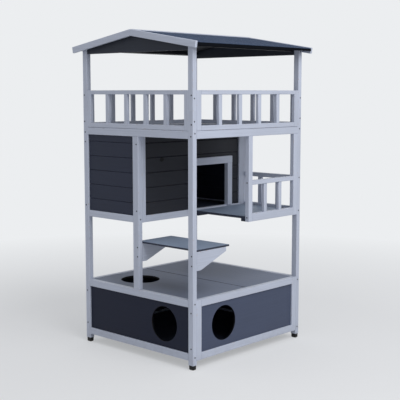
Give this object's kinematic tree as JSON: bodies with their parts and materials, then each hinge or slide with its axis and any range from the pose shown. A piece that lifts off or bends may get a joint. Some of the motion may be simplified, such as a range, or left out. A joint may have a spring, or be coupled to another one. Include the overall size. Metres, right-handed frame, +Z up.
{
  "type": "wooden cat house",
  "caption": "Tall painted wooden cat house on posts: base den with round doors, deck and step, boarded cabin with balcony, railed terrace and a low gable roof.",
  "frame": {"origin": "on the floor, under the middle of the house's plan", "axes": "+Z up; the gable front with the boarded cabin and the middle post faces -Y; the side with the doorway and the balcony faces +X"},
  "size_m": [0.862, 0.876, 1.5953],
  "materials": {
    "pale_paint": "satin paint",
    "slate_paint": "satin paint",
    "floor_paint": "satin paint",
    "roof_felt": "mineral grit",
    "black_plastic": "matte",
    "bare_wood": "unfinished",
    "black_screw": "black zinc"
  },
  "bodies": {
    "root": {"back_barge_boards": "pale_paint", "back_left_post": "pale_paint", "back_railing": "pale_paint", "back_right_post": "pale_paint", "balcony_back_railing": "pale_paint", "balcony_floor": "floor_paint", "balcony_side_railing": "pale_paint", "base_back_bottom_rail": "pale_paint", "base_back_panel": "slate_paint", "base_back_top_rail": "pale_paint", "base_bearers": "slate_paint", "base_floor": "floor_paint", "base_front_bottom_rail": "pale_paint", "base_front_panel": "slate_paint", "base_front_top_rail": "pale_paint", "base_left_frame": "pale_paint", "base_left_panel": "slate_paint", "base_right_frame": "pale_paint", "base_right_panel": "slate_paint", "cabin_back_boards": "slate_paint", "cabin_back_frame": "pale_paint", "cabin_floor": "floor_paint", "cabin_front_boards": "slate_paint", "cabin_front_rail": "pale_paint", "cabin_left_boards": "slate_paint", "cabin_left_frame": "pale_paint", "cabin_right_boards": "slate_paint", "cabin_right_frame": "pale_paint", "deck_back_board": "floor_paint", "deck_front_board": "floor_paint", "doorway_trim": "pale_paint", "floor_bearers": "slate_paint", "frame_screws": "black_screw", "front_barge_boards": "pale_paint", "front_left_post": "pale_paint", "front_middle_post": "pale_paint", "front_railing": "pale_paint", "front_right_post": "pale_paint", "gable_boards": "slate_paint", "hanging_post": "pale_paint", "left_railing": "pale_paint", "post_dowels": "bare_wood", "post_feet": "black_plastic", "ridge_cap": "pale_paint", "right_railing": "pale_paint", "roof_bearers": "slate_paint", "roof_left_felt": "roof_felt", "roof_left_panel": "slate_paint", "roof_right_felt": "roof_felt", "roof_right_panel": "slate_paint", "step_brackets": "pale_paint", "step_shelf": "floor_paint", "terrace_back_floor": "floor_paint", "terrace_back_rim": "pale_paint", "terrace_bearers": "slate_paint", "terrace_front_floor": "floor_paint", "terrace_front_rim": "pale_paint", "terrace_left_rim": "pale_paint", "terrace_right_rim": "pale_paint", "upper_posts": "pale_paint"}
  },
  "joints": []
}
